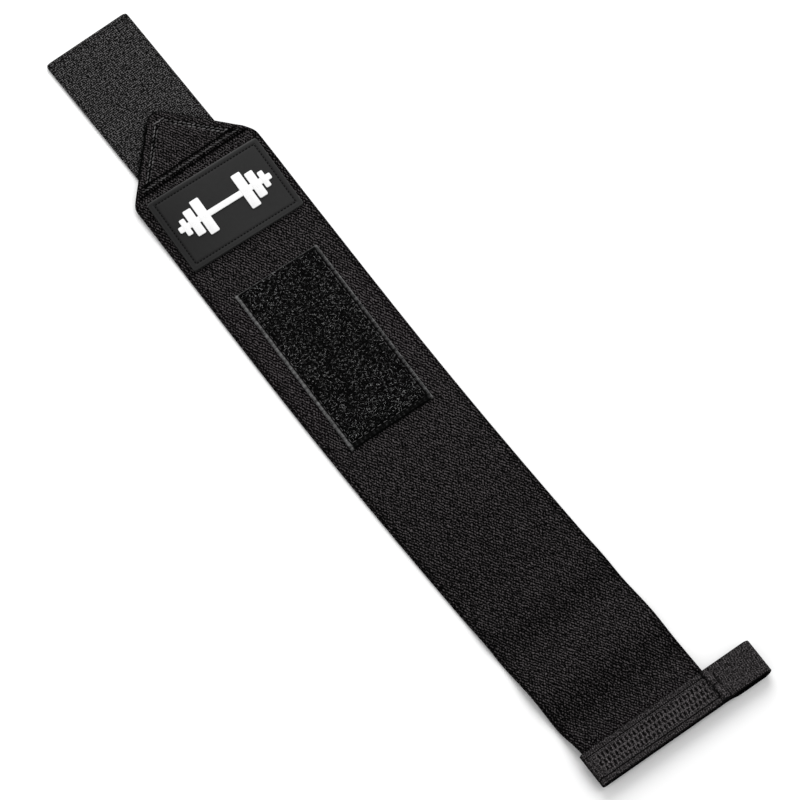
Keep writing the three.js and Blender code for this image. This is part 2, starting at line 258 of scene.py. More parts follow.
def makeWeaveGroup():
    # Height of woven nubs at a flat place in millimetres, with a random tone for each nub
    group, source, target = startGroup(
        "wovenNubs", ("Pitch Along", "Pitch Across", "Lean", "Ridges", "Ribs", "Fray"), ("Height", "Tone")
    )
    links = group.links
    wander = group.nodes.new("ShaderNodeTexNoise")
    wander.inputs["Scale"].default_value = 0.45
    wander.inputs["Detail"].default_value = 3
    links.new(source.outputs["Place"], wander.inputs["Vector"])
    shift = group.nodes.new("ShaderNodeVectorMath")
    shift.operation = "MULTIPLY_ADD"
    spread = group.nodes.new("ShaderNodeCombineXYZ")
    for axis in range(3):
        links.new(source.outputs["Fray"], spread.inputs[axis])
    centred = group.nodes.new("ShaderNodeVectorMath")
    centred.operation = "SUBTRACT"
    centred.inputs[1].default_value = (0.5, 0.5, 0.5)
    links.new(wander.outputs["Color"], centred.inputs[0])
    links.new(centred.outputs[0], shift.inputs[0])
    links.new(spread.outputs[0], shift.inputs[1])
    links.new(source.outputs["Place"], shift.inputs[2])
    apart = group.nodes.new("ShaderNodeSeparateXYZ")
    links.new(shift.outputs[0], apart.inputs[0])
    along = maths(group, "DIVIDE", apart.outputs[0], source.outputs["Pitch Along"])
    leant = maths(group, "MULTIPLY_ADD", apart.outputs[0], source.outputs["Lean"], apart.outputs[1])
    across = maths(group, "DIVIDE", leant, source.outputs["Pitch Across"])
    alongTurn = maths(group, "MULTIPLY", along, 2 * math.pi)
    acrossTurn = maths(group, "MULTIPLY", across, 2 * math.pi)
    cosAlong = maths(group, "COSINE", alongTurn)
    cosAcross = maths(group, "COSINE", acrossTurn)
    nubs = maths(group, "MULTIPLY", cosAlong, cosAcross)
    ridges = maths(group, "COSINE", maths(group, "SUBTRACT", alongTurn, acrossTurn))
    ribs = maths(group, "MULTIPLY_ADD", cosAcross, 0.4, maths(group, "MULTIPLY", cosAlong, 0.6))

    def blendOf(first, second, share):
        return maths(group, "MULTIPLY_ADD", maths(group, "SUBTRACT", second, first), share, first)

    woven = blendOf(blendOf(nubs, ridges, source.outputs["Ridges"]), ribs, source.outputs["Ribs"])
    links.new(maths(group, "MULTIPLY_ADD", woven, 0.5, 0.5), target.inputs["Height"])
    cell = group.nodes.new("ShaderNodeCombineXYZ")
    links.new(maths(group, "ROUND", maths(group, "MULTIPLY", along, 2)), cell.inputs[0])
    links.new(maths(group, "ROUND", maths(group, "MULTIPLY", across, 2)), cell.inputs[1])
    chance = group.nodes.new("ShaderNodeTexWhiteNoise")
    chance.noise_dimensions = "2D"
    links.new(cell.outputs[0], chance.inputs["Vector"])
    links.new(chance.outputs["Value"], target.inputs["Tone"])
    return group


def makeGrainGroup():
    # Fine grain, and slow changes over a wider stretch
    inputs = ("Fine Scale", "Fine Detail", "Slow Scale")
    group, source, target = startGroup("grain", inputs, ("Fine", "Slow"))
    for name in ("Fine", "Slow"):
        grain = group.nodes.new("ShaderNodeTexNoise")
        grain.inputs["Detail"].default_value = 2
        group.links.new(source.outputs["Place"], grain.inputs["Vector"])
        group.links.new(source.outputs[name + " Scale"], grain.inputs["Scale"])
        if name == "Fine":
            group.links.new(source.outputs["Fine Detail"], grain.inputs["Detail"])
        group.links.new(grain.outputs["Fac"], target.inputs[name])
    return group


weaveGroup = makeWeaveGroup()
grainGroup = makeGrainGroup()


def startMaterial(name, roughness, specular):
    material = bpy.data.materials.new(name)
    material.use_nodes = True
    tree = material.node_tree
    shader = tree.nodes["Principled BSDF"]
    shader.inputs["Roughness"].default_value = roughness
    shader.inputs["Specular IOR Level"].default_value = specular
    return material, tree, shader


def rampOf(tree, value, stops):
    ramp = tree.nodes.new("ShaderNodeValToRGB")
    while len(ramp.color_ramp.elements) < len(stops):
        ramp.color_ramp.elements.new(0.5)
    for element, (place, colour) in zip(ramp.color_ramp.elements, stops):
        element.position = place
        element.color = (*colour, 1)
    tree.links.new(value, ramp.inputs["Fac"])
    return ramp.outputs["Color"]


def readAttribute(tree, name):
    node = tree.nodes.new("ShaderNodeAttribute")
    node.attribute_name = name
    return node.outputs["Fac"]


def placeOf(tree, uvMap=None):
    # The piece's own UV map in millimetres, or its object coordinates in metres
    if uvMap:
        node = tree.nodes.new("ShaderNodeUVMap")
        node.uv_map = uvMap
        return node.outputs["UV"]
    return tree.nodes.new("ShaderNodeTexCoord").outputs["Object"]


def mixColours(tree, share, first, second, kind="MIX"):
    node = tree.nodes.new("ShaderNodeMix")
    node.data_type, node.blend_type = "RGBA", kind
    for socket, value in ((node.inputs[0], share), (node.inputs[6], first), (node.inputs[7], second)):
        if isinstance(value, (int, float)):
            socket.default_value = value
        elif isinstance(value, tuple):
            socket.default_value = (*value, 1)
        else:
            tree.links.new(value, socket)
    return node.outputs[2]


def addBump(tree, shader, height, distance, strength=1.0):
    node = tree.nodes.new("ShaderNodeBump")
    node.inputs["Distance"].default_value = distance / 1000
    node.inputs["Strength"].default_value = strength
    tree.links.new(height, node.inputs["Height"])
    tree.links.new(node.outputs["Normal"], shader.inputs["Normal"])


def useGroup(tree, group, place, values):
    node = tree.nodes.new("ShaderNodeGroup")
    node.node_tree = group
    tree.links.new(place, node.inputs["Place"])
    for socket, value in values.items():
        node.inputs[socket].default_value = value
    return node.outputs[0], node.outputs[1]


def useWeave(tree, place, along, across, fray, lean=0.0, ridges=0.0, ribs=0.0):
    values = {"Pitch Along": along, "Pitch Across": across, "Lean": lean, "Ridges": ridges, "Ribs": ribs}
    return useGroup(tree, weaveGroup, place, {**values, "Fray": fray})


def useGrain(tree, place, fine, detail, slow):
    values = {"Fine Scale": fine, "Fine Detail": detail, "Slow Scale": slow}
    return useGroup(tree, grainGroup, place, values)


def sway(tree, value, amount, middle=0.0):
    # A share from 0 to 1, turned into a value that lies evenly on both sides of the middle
    return maths(tree, "MULTIPLY_ADD", value, amount, middle - amount / 2)


def makeCloth(name, look, weave, stops):
    # Woven cloth: gaps darkened as painted shade between the nubs, nubs of uneven tone, fine grain and slow
    # patches, times the painted light and tone stored at the corners
    material, tree, shader = startMaterial(name, look["roughness"], look["specular"])
    place = placeOf(tree, "flat")
    height, tone = useWeave(tree, place, **weave)
    fine, slow = useGrain(tree, place, look["grain"], 2, look["patches"])
    light = maths(tree, "MULTIPLY", height, sway(tree, tone, look["tone"], 1))
    light = maths(tree, "ADD", light, sway(tree, fine, look["fleck"]))
    light = maths(tree, "ADD", light, sway(tree, slow, look["patchy"]))
    light = maths(tree, "MULTIPLY", light, readAttribute(tree, "paintedLightAndTone"))
    tree.links.new(rampOf(tree, light, stops), shader.inputs["Base Color"])
    addBump(tree, shader, maths(tree, "MULTIPLY_ADD", fine, 0.4, height), look["depth"], 0.8)
    return material


def tones(low, high, tint=(1.0, 0.905, 0.935)):
    # From near black in the gaps, painted shade between the nubs, steeply up to the nubs
    shares = ((0.3, 0), (0.5, 0.06), (0.66, 0.25), (0.84, 0.62), (1, 1))
    return [(place, tuple((low + (high - low) * share) * t for t in tint)) for place, share in shares]


def makeElastic():
    look = {"roughness": 0.85, "specular": 0.02, "grain": 1.3, "fleck": 2.6, "patches": 0.1, "patchy": 0.08,
            "tone": 0.35, "depth": 0.4}
    weave = {"along": strap["weaveAlong"], "across": strap["weaveAcross"], "lean": strap["weaveLean"],
             "ridges": 0.36, "fray": 2.2}
    return makeCloth("wovenElastic", look, weave, tones(0.0002, 0.071))


def makeWebbing():
    look = {"roughness": 0.8, "specular": 0.03, "grain": 1.25, "fleck": 3.8, "patches": 0.3, "patchy": 0.2,
            "tone": 0.8, "depth": 0.2}
    weave = {"along": 1.08, "across": 0.97, "ribs": 0.7, "fray": 0.45}
    return makeCloth("hookWebbing", look, weave, tones(0.0004, 0.108, (1, 0.97, 0.98)))


def makePlain(name, colour, roughness, specular, grain, depth, spread, contrast, paintedLightAndTone):
    # Moulded or spun finish: fine grain and slow changes of tone, and where asked, times the painted light
    # and tone stored at the corners
    material, tree, shader = startMaterial(name, roughness, specular)
    fine, slow = useGrain(tree, placeOf(tree), grain, 3, grain / 24)
    tone = maths(tree, "MULTIPLY_ADD", fine, 0.75 * contrast, 0.5 - 0.5 * contrast)
    tone = maths(tree, "MULTIPLY_ADD", slow, 0.25 * contrast, tone)
    low, high = (tuple(c * share for c in colour) for share in (1 - spread, 1 + spread))
    mixed = mixColours(tree, tone, low, high)
    if paintedLightAndTone:
        shade = tree.nodes.new("ShaderNodeCombineXYZ")
        for axis in range(3):
            tree.links.new(readAttribute(tree, "paintedLightAndTone"), shade.inputs[axis])
        mixed = mixColours(tree, 1.0, mixed, shade.outputs[0], "MULTIPLY")
    tree.links.new(mixed, shader.inputs["Base Color"])
    tree.links.new(sway(tree, fine, 0.2, roughness), shader.inputs["Roughness"])
    addBump(tree, shader, fine, depth, 0.7)
    return material


def makeBandCloth():
    look = {"roughness": 0.8, "specular": 0.03, "grain": 1.3, "fleck": 1.9, "patches": 0.3, "patchy": 0.1,
            "tone": 0.35, "depth": 0.2}
    weave = {"along": band["ribPitch"], "across": 0.9, "ridges": 0.2, "ribs": 0.2, "fray": 0.5}
    tint = (1, 0.925, 0.95)
    stops = [(place, tuple(value * t for t in tint)) for place, value in
             ((0.2, 0.0005), (0.38, 0.0045), (0.62, 0.033), (1, 0.125))]
    return makeCloth("bandCloth", look, weave, stops)


elastic = makeElastic()
webbing = makeWebbing()
bandCloth = makeBandCloth()

threadColour = (0.075, 0.073, 0.074)
plainColumns = ("colour", "roughness", "specular", "grain", "depth", "spread", "contrast", "paintedLightAndTone")
plainRows = {
    "labelRubber": ((0.0185, 0.0185, 0.0185), 0.55, 0.07, 420, 0.03, 0.12, 2, True),
    "emblemRubber": ((0.78, 0.78, 0.78), 0.5, 0.2, 420, 0.03, 0.05, 2, False),
    "paleThread": (threadColour, 0.7, 0.06, 1100, 0.05, 0.7, 3, False),
    "brightThread": (threadColour, 0.7, 0.06, 420, 0.05, 0.85, 4, False),
    "midThread": ((0.055, 0.0535, 0.054), 0.8, 0.05, 700, 0.05, 0.95, 4, False),
    "darkThread": ((0.0018, 0.0018, 0.0018), 0.85, 0.05, 1500, 0.05, 0.4, 2, False),
    "pileFibre": ((0.25, 0.25, 0.25), 0.7, 0.02, 1300, 0.03, 0.8, 3, True),
    "hookPlastic": ((0.014, 0.014, 0.014), 0.42, 0.3, 800, 0.04, 0.3, 2, False),
}
plain = {name: makePlain(name, **dict(zip(plainColumns, row))) for name, row in plainRows.items()}
print("materials ready")


def makePiece(name, bm, material):
    mesh = takeMesh(bm, name)
    mesh.materials.append(material)
    mesh.shade_smooth()
    piece = bpy.data.objects.new(name, mesh)
    bpy.context.scene.collection.objects.link(piece)
    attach(piece, "root")
    print(name, len(mesh.polygons), "faces")
    return piece


def makeShell(rows, columns, placeAt, paintedLightAndToneAt):
    # Closed sheet: a grid with a copy extruded from it. Both functions take a corner's row and column, and
    # whether it is on the upper face; the first gives its place, the second its painted light and tone.
    bm = bmesh.new()
    bmesh.ops.create_grid(bm, x_segments=rows, y_segments=columns, size=0.5)
    grown = bmesh.ops.extrude_face_region(bm, geom=bm.faces[:], use_keep_orig=True)
    for corner in grown["geom"]:
        if isinstance(corner, bmesh.types.BMVert):
            corner.co.z = 1
    flat = bm.loops.layers.uv.new("flat")
    paintedLightAndTone = bm.verts.layers.float.new("paintedLightAndTone")
    flatAt = {}
    for corner in bm.verts:
        row = round((corner.co.x + 0.5) * rows)
        column = round((corner.co.y + 0.5) * columns)
        upper = corner.co.z > 0.5
        corner[paintedLightAndTone] = paintedLightAndToneAt(row, column, upper)
        corner.co, flatAt[corner] = placeAt(row, column, upper)
    for face in bm.faces:
        for loop in face.loops:
            loop[flat].uv = flatAt[loop.vert]
    bmesh.ops.remove_doubles(bm, verts=bm.verts[:], dist=2e-6)
    bmesh.ops.dissolve_degenerate(bm, edges=bm.edges[:], dist=1e-7)
    bmesh.ops.recalc_face_normals(bm, faces=bm.faces[:])
    bmesh.ops.triangulate(bm, faces=bm.faces[:], quad_method="FIXED")
    return bm


# The strap, woven all over, with its folded point
def makeStrap():
    step, span = strap["rowStep"], strap["length"]
    rows = [i * step / 2 for i in range(strap["closeRows"])]
    while rows[-1] + step < span - 0.3:
        rows.append(rows[-1] + step)
    rows.append(span)
    edges, count = strap["edgeInsets"], strap["sideColumns"]
    columns = len(edges) * 2 + 2 * count
    base, front, back = strap["point"], strap["ridgeFront"], strap["ridgeBack"]
    inner = half - count * strap["columnStep"]

    def acrossAt(x, column):
        reach = halfWidthAt(x)
        grow = 1 + (1 / slant - 1) * (1 - ease(x, shoulderStart, shoulderEnd))
        squeeze = min(1, 0.5 * reach / (inner * grow)) * grow
        if column < len(edges):
            return -(reach - edges[column] * squeeze)
        if column > columns - len(edges):
            return reach - edges[columns - column] * squeeze
        share = (column - len(edges) - count) / count
        return share * (reach - inner * squeeze)

    def insetAt(x, y):
        return (halfWidthAt(x) - abs(y)) * (slant if x < shoulderStart else 1)

    def selvedge(x, y):
        # Height that the seams of the point and the strap's woven edges add
        inset = insetAt(x, y)
        if x < base:
            hem = 0.42 * math.sin(math.pi * min(1, inset / 4.4))
            puff = 0.45 * ease(inset, 6, 12) * (1 - ease(x, 24, 30.5))
            tipSeam = 0.45 * bump(y, 0, 0.55) * (1 - ease(x, 5.5, 8))
            lines = 0.3 * bump(x, front + 0.1, 0.6) + 0.1 * bump(x, back - 0.1, 0.6)
            return hem + puff - tipSeam - lines * ease(inset, 1, 4)
        return 0.16 * bump(inset, 1.75, 0.4) - 0.14 * bump(inset, 1.0, 0.35) - 0.14 * bump(inset, 2.6, 0.4)

    def placeAt(row, column, upper):
        x = rows[row]
        y = acrossAt(x, column)
        thick = strap["thick"] * layersAt(x)
        radius = thick / 2
        inset = min(radius, max(0, insetAt(x, y)), max(0, (span - x) * 1.5))
        rounding = 0.85 * (radius - math.sqrt(max(0, radius**2 - (radius - inset) ** 2)))
        if upper:
            z = topAt(x, y) - rounding + selvedge(x, y)
        else:
            z = undersideAt(x, y) + rounding + 0.06
        return lay(x, y, z), (x, y)

    def paintedLightAndToneAt(row, column, upper):
        x = rows[row]
        y = acrossAt(x, column)
        inset = insetAt(x, y)
        tone = 1
        if upper and x < 34:  # painted shade in the stitch groove of the point
            tone -= 0.75 * bump(inset, strap["stitchInset"], 0.95) * ease(x, 5, 10)
        if x > base:  # painted shade in the grooves of the woven edges, and a painted highlight on the cord between them
            tone *= 1 - 0.5 * bump(inset, 1.05, 0.4) - 0.4 * bump(inset, 2.6, 0.45)
            tone += 0.25 * bump(inset, 1.8, 0.35)
        if x > 90:  # painted shade on slopes that face the loop end and painted light on those that face the point, painted shade growing towards the loop end, painted light and shade on the two sides of the last ripple, then painted light from one side
            slope = (undersideAt(x + 1, y) - undersideAt(x - 1, y)) / 2
            tone *= min(1.05, max(0.8, 1 + 0.3 * slope)) * (1 - 0.09 * ease(x, 215, 310))
            tone *= 1 + 0.09 * bump(x, 372, 7) - 0.085 * bump(x, 392, 8)
            tone *= 1 + 0.03 * y / half * ease(x, 90, 200)
        elif x < strap["seam"]:  # painted shade along the folded edge
            tone *= 0.15 + 0.85 * ease(inset, 0, 1.1)
        # painted shade in the grooves either side of the ridge across the point's base
        lines = 0.85 * bump(x, front, 0.55) + 0.7 * bump(x, back, 0.4) + 0.3 * bump(x, strap["ridge"], 1)
        tone *= 1 - lines * ease(inset, 0.8, 3)
        # painted shade in the tip seam
        tone *= 1 - 0.3 * bump(y, 0, 0.5) * (1 - ease(x, 4.5, 7)) * ease(x, 0.5, 2)
        return max(0.03, tone)

    bm = makeShell(len(rows) - 1, columns, placeAt, paintedLightAndToneAt)
    piece = makePiece("wrapStrap", bm, elastic)
    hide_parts("wrap_strap")


makeStrap()


# Hook tab: a tape with crosswise ribs, and its field of hooks underneath
def onTab(x, y, z):
    return Vector((x + originX, y + originY + tab["shift"], z)) / 1000


def makeTab():
    ribStep, columns = 0.54, 104
    start, end = -tab["reach"], tab["inner"]
    rows = round((end - start) / ribStep)
    wide, corner = tab["width"] / 2, tab["corner"]

    def spot(row, column):
        x = start + (end - start) * row / rows
        y = -wide + 2 * wide * column / columns
        near = min(x - start, end - x)
        if near < corner:
            y *= (wide - corner + math.sqrt(corner**2 - (corner - near) ** 2)) / wide
        return x, y

    def placeAt(row, column, upper):
        x, y = spot(row, column)
        rounding = roundOff(min(0.5, x - start, end - x, wide - abs(y)), 0.5, 0.4)
        rib = 0.05 * math.cos(math.pi * row) + 0.03 * math.cos(math.pi * column)
        z = tab["thick"] - 0.05 - rounding + rib if upper else tab["tape"] + rounding
        return onTab(x, y, z), (x, y)

    def paintedLightAndToneAt(row, column, upper):
        x, y = spot(row, column)
        tone = 1 - 0.3 * bump(wide - abs(y), 1.4, 0.3) - 0.3 * bump(x - start, 2.6, 0.4)
        if x < tipEnd:
            past = math.hypot(x - strap["tip"], y) - strap["tip"]
        else:
            past = (abs(y) - halfWidthAt(x)) * slant
        if upper and past > -2:
            hidden = ease(y, -3, 3)  # painted shadow of the point on the tab; the far edge leans over its own contact line, so there the painted shadow is set out from it, wider and darker
            tone *= 1 - (0.55 + 0.3 * hidden) * bump(max(0, past), 1.2 * hidden, 0.4 + 0.55 * hidden)
        return tone

    piece = makePiece("hookTape", makeShell(rows, columns, placeAt, paintedLightAndToneAt), webbing)
    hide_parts("hook_tab")


# Each move of a hook's end: along, across and up, the turn in degrees and the size that it leaves
hookMoves = [
    ((0, 0, 0.3), 0, 1),
    ((0.05, 0, 0.14), 35, 0.95),
    ((0.12, 0, 0.06), 60, 0.9),
    ((0.12, 0, -0.07), 50, 0.85),
]
hooks = {
    "along": 1.7, "across": 1.25, "margin": 2, "shift": 0.6, "edge": 1.5, "jitter": 0.08, "swing": 0.2,
    "root": 0.12, "size": 1.42,
}


def extendTube(bm, edges, move):
    # Extrudes a ring of edges and moves the new ring
    grown = bmesh.ops.extrude_edge_only(bm, edges=list(edges))["geom"]
    corners = [g for g in grown if isinstance(g, bmesh.types.BMVert)]
    bmesh.ops.translate(bm, verts=corners, vec=move)
    return corners, {g for g in grown if isinstance(g, bmesh.types.BMEdge)}


def makeHookProto():
    # One hook: a thin stem that bends over and points back
    bm = bmesh.new()
    ring = bmesh.ops.create_circle(bm, cap_ends=False, segments=4, radius=0.1)["verts"]
    edges = {edge for corner in ring for edge in corner.link_edges}
    centre = Vector((0, 0, 0))
    for move, turn, size in hookMoves:
        corners, edges = extendTube(bm, edges, move)
        centre = centre + Vector(move)
        bend = Matrix.Rotation(math.radians(turn), 3, "Y")
        bmesh.ops.rotate(bm, verts=corners, cent=centre, matrix=bend)
        bmesh.ops.scale(bm, verts=corners, vec=(size,) * 3, space=Matrix.Translation(-centre))
    bmesh.ops.holes_fill(bm, edges=bm.edges[:], sides=6)
    bmesh.ops.recalc_face_normals(bm, faces=bm.faces[:])
    return takeMesh(bm, "hookProto")


def placed(spot, turn, long, wide, high):
    # Matrix for a copy at a place in metres, turned in the plane, with its size in millimetres
    size = Matrix.Diagonal((long / 1000, wide / 1000, high / 1000, 1))
    return Matrix.Translation(spot) @ Matrix.Rotation(turn, 4, "Z") @ size


def scatter(bm, protos, places):
    # Adds a copy of a small mesh at each place, taking the meshes in turn
    for number, place in enumerate(places):
        copy = protos[number % len(protos)].copy()
        copy.transform(place)
        bm.from_mesh(copy)
        bpy.data.meshes.remove(copy)


def makeHooks():
    # The hooks hang from the tape and all but touch the table
    chance = random.Random(5)
    places = []
    wide, margin = tab["width"] / 2, hooks["margin"]
    rows = int((tab["reach"] + tab["inner"] - 2 * margin) / hooks["along"])
    columns = int((tab["width"] - 2 * margin) / hooks["across"])
    for i in range(rows + 1):
        for k in range(columns + 1):
            x = -tab["reach"] + margin + i * hooks["along"]
            x += chance.uniform(-hooks["jitter"], hooks["jitter"])
            y = -wide + margin + k * hooks["across"] + hooks["shift"] * (i % 2) * hooks["across"]
            if abs(y) > wide - hooks["edge"]:
                continue
            facing = (0 if k % 2 else math.pi) + chance.uniform(-hooks["swing"], hooks["swing"])
            turn = Matrix.Rotation(math.pi, 4, "X") @ Matrix.Rotation(facing, 4, "Z")
            spot = onTab(x, y, tab["tape"] + hooks["root"])
            places.append(Matrix.Translation(spot) @ turn @ Matrix.Scale(hooks["size"] / 1000, 4))
    bm = bmesh.new()
    scatter(bm, [makeHookProto()], places)
    piece = makePiece("hookField", bm, plain["hookPlastic"])


makeTab()
makeHooks()


# Stitches: short soft dashes along a line
def makeStitchProto():
    bm = bmesh.new()
    bmesh.ops.create_uvsphere(bm, u_segments=8, v_segments=6, radius=0.5)
    bmesh.ops.rotate(bm, verts=bm.verts[:], cent=(0, 0, 0), matrix=Matrix.Rotation(math.pi / 2, 3, "Y"))
    for corner in bm.verts:  # fuller ends than a ball has
        corner.co.x = math.copysign(abs(corner.co.x * 2) ** 0.75 / 2, corner.co.x)
    return takeMesh(bm, "stitchProto")


stitchProto = makeStitchProto()


def makeStitches(name, finish, spots, long, wide, high):
    # spots are (place in metres, direction in the plane)
    bm = bmesh.new()
    scatter(bm, [stitchProto], [placed(spot, turn, long, wide, high) for spot, turn in spots])
    return makePiece(name, bm, plain[finish])


def stitchLine(start, end, pitch, heightAt, wander=0.0, seed=1):
    chance = random.Random(seed)
    run = Vector(end) - Vector(start)
    count = max(1, int(run.length / pitch))
    spots = []
    for i in range(count):
        share = (i + 0.5) / count
        x, y = Vector(start) + run * share
        spots.append((x, y, heightAt(x, y), math.atan2(run.y, run.x) + chance.uniform(-wander, wander)))
    return spots


# Seams of the point: a double row along both folded edges, and the thread ridge across its base
def makePointSeams():
    def above(height):
        return lambda x, y: topAt(x, y) + height

    rows = []
    for inset, first in ((4.6, 6.2), (6.1, 9)):
        for side in (-1, 1):
            start, end = ((x, side * (halfWidthAt(x) - inset / slant)) for x in (first, 30.6))
            rows += stitchLine(start, end, 2.35, above(0.2), 0.4, 7 + side)
    rows += stitchLine((5.2, -3.4), (5.2, 3.4), 1.7, above(0.2), 0.5, 12)
    spots = [(lay(x, y, z), turn + (0.3 if y > 0 else -0.3)) for x, y, z, turn in rows]
    piece = makeStitches("pointStitches", "brightThread", spots, 2.1, 0.8, 0.65)

    rows = stitchLine((38.1, -half + 3), (38.1, half - 3), 1.5, above(0.02), 0.12, 3)
    spots = [(lay(x, y, z), turn) for x, y, z, turn in rows]
    piece = makeStitches("baseStitches", "paleThread", spots, 1.4, 0.32, 0.35)

    # thick slanted stitches that make the ridge
    ridge = strap["ridge"]
    reach = halfWidthAt(33) - 3.5
    rows = stitchLine((ridge, -reach), (ridge, reach), 2.1, above(0.05), 0.15, 9)
    spots = [(lay(x, y, z), turn - math.radians(27)) for x, y, z, turn in rows]
    piece = makeStitches("ridgeCord", "midThread", spots, 2.5, 0.8, 0.8)


makePointSeams()


# Rubber label with a bevelled rim, a stitched channel and a raised barbell
# Its profile in from the edge: inset, and height as a share of the thickness
labelProfile = [
    (0, 0.78), (0.12, 0.93), (0.3, 0.99), (0.54, 1), (1.3, 1), (2.1, 1), (2.3, 0.96),
    (2.5, 0.87), (2.95, 0.85), (3.4, 0.87), (3.6, 0.93), (3.85, 0.96), (4.5, 0.96),
]
emblem = {"long": 56, "high": 21, "thick": 0.6, "sunk": 0.12, "corner": 0.7, "rim": 0.12, "barThick": 0.9}
# Barbell from its middle out: shares of half its length from and to, and share of its height.
# The first row is the bar, then come large plates, small plates and collars.
barbell = [(0, 1, 0.16), (0.36, 0.55, 1), (0.59, 0.76, 0.74), (0.8, 0.91, 0.46)]


def makeEmblem(under, lift):
    bm = bmesh.new()
    bevel = {"offset_type": "OFFSET", "profile": 0.5, "affect": "EDGES", "material": -1}
    for low, high, tall in barbell:
        isBar = low == 0
        size = (high if isBar else (high - low) / 2) * emblem["long"]
        deep = emblem["thick"] * (emblem["barThick"] if isBar else 1)
        for side in (1,) if isBar else (-1, 1):
            block = bmesh.ops.create_cube(bm, size=1)["verts"]
            middle = 0 if isBar else side * (low + high) / 4 * emblem["long"]
            bmesh.ops.scale(bm, verts=block, vec=(tall * emblem["high"], size, deep))
            bmesh.ops.translate(bm, verts=block, vec=(0, middle, deep / 2))
            upright = [
                e for e in bm.edges
                if e.verts[0] in block and abs(e.verts[0].co.z - e.verts[1].co.z) > 0.3
            ]
            bmesh.ops.bevel(bm, geom=upright, offset=emblem["corner"], segments=4, **bevel)
    rim = [
        e for e in bm.edges
        if e.is_manifold and e.calc_face_angle(0) > 1.2 and min(v.co.z for v in e.verts) > 0.4
    ]
    bmesh.ops.bevel(bm, geom=rim, offset=emblem["rim"], segments=2, **bevel)
    field = label["fieldHeight"] * label["thick"] + gap - emblem["sunk"]
    for corner in bm.verts:
        corner.co.z += under(corner.co.x, corner.co.y) + field
    bmesh.ops.transform(bm, matrix=lift, verts=bm.verts[:])
    piece = makePiece("labelEmblem", bm, plain["emblemRubber"])
    piece.data.set_sharp_from_angle(angle=math.radians(35))
    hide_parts("label_emblem")


def makeLabel():
    centre = label["start"] + label["long"] / 2
    place = seat(centre, label["shift"], label["turn"])
    longHalf, wideHalf, thick = label["long"] / 2, label["width"] / 2, label["thick"]

    def under(x, y):
        return topAt(*onStrap(centre, label["shift"], label["turn"], x, y)) + gap

    insets = [row[0] for row in labelProfile]
    corner = label["corner"]

    def stopsOf(size, count):
        inner = size / 2 - insets[-1]
        near = [inset - size / 2 for inset in insets[:-1]]
        field = [-inner + 2 * inner * k / count for k in range(count + 1)]
        return near + field + [-v for v in reversed(near)]

    alongStops, acrossStops = stopsOf(label["long"], 15), stopsOf(label["width"], 24)
    lift = place @ Matrix.Scale(0.001, 4)

    def heightAt(inset):
        for (before, low), (after, high) in zip(labelProfile, labelProfile[1:]):
            if inset <= after:
                return low + (high - low) * (inset - before) / (after - before)
        return labelProfile[-1][1]

    def placeAt(row, column, upper):
        x, y = alongStops[row], acrossStops[column]
        inset = max(0, min(longHalf - abs(x), wideHalf - abs(y)))
        dx, dy = abs(x) - longHalf + corner, abs(y) - wideHalf + corner
        if dx > 0 and dy > 0:
            share = max(dx, dy) / math.hypot(dx, dy)
            x = math.copysign(longHalf - corner + dx * share, x)
            y = math.copysign(wideHalf - corner + dy * share, y)
        return lift @ Vector((x, y, under(x, y) + (thick * heightAt(inset) if upper else 0))), (x, y)

    def paintedLightAndToneAt(row, column, upper):
        inset = min(longHalf - abs(alongStops[row]), wideHalf - abs(acrossStops[column]))
        # The underside is painted darker as shade.
        if not upper:
            return 0.8
        # darker towards the -Y side
        darkerTowardsMinusY = 1 - 0.27 * (1 - ease(acrossStops[column], -wideHalf, 5))
        pale = 1.5 * bump(alongStops[row] + longHalf, 0.3, 0.4)  # painted highlight on the edge towards the point, on the side the light comes from
        # painted shade in the stitched channel and a darker band on the rim; the rim's outer edge gets a
        # painted highlight
        dark = 0.2 * bump(inset, label["channel"], 0.5) + 0.12 * bump(inset, 1.2, 0.6)
        return darkerTowardsMinusY * (1 + 1.3 * bump(inset, 0.1, 0.24) + pale - dark)

    bm = makeShell(len(alongStops) - 1, len(acrossStops) - 1, placeAt, paintedLightAndToneAt)
    piece = makePiece("rubberLabel", bm, plain["labelRubber"])
    piece.data.set_sharp_from_angle(angle=math.radians(40))
    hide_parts("rubber_label")

    # stitches sunk in the channel
    side, end = wideHalf - label["channel"], longHalf - label["channel"]
    low = label["channelHeight"] * thick + 0.05
    corners = [(-end, -side), (end, -side), (end, side), (-end, side)]
    rows = []
    for first, second in zip(corners, corners[1:] + corners[:1]):
        rows += stitchLine(first, second, 1.9, lambda x, y: under(x, y) + low, 0.06, 21)
    spots = [(lift @ Vector((x, y, z)), turn + math.radians(label["turn"])) for x, y, z, turn in rows]
    piece = makeStitches("labelStitches", "darkThread", spots, 1.25, 0.6, 0.35)

    makeEmblem(under, lift)


makeLabel()


# Loop patch: tape with woven selvedges and a field of curly fibres
curl = {
    "cells": (115, 52), "clearStart": (1.2, 3), "clearEnd": (4.1, 3.3), "bends": 5, "step": 0.52,
    "stepSpread": 0.1, "radius": 0.09, "rise": 0.9, "turn": 0.6, "wander": 0.9, "heights": (-0.15, 0.12),
    "sizes": (0.7, 1.15), "spin": 6.283,
}
curlTones = (0.04, 0.06, 0.09, 0.13, 0.2, 0.3, 0.45, 0.7, 1.0, 1.5)


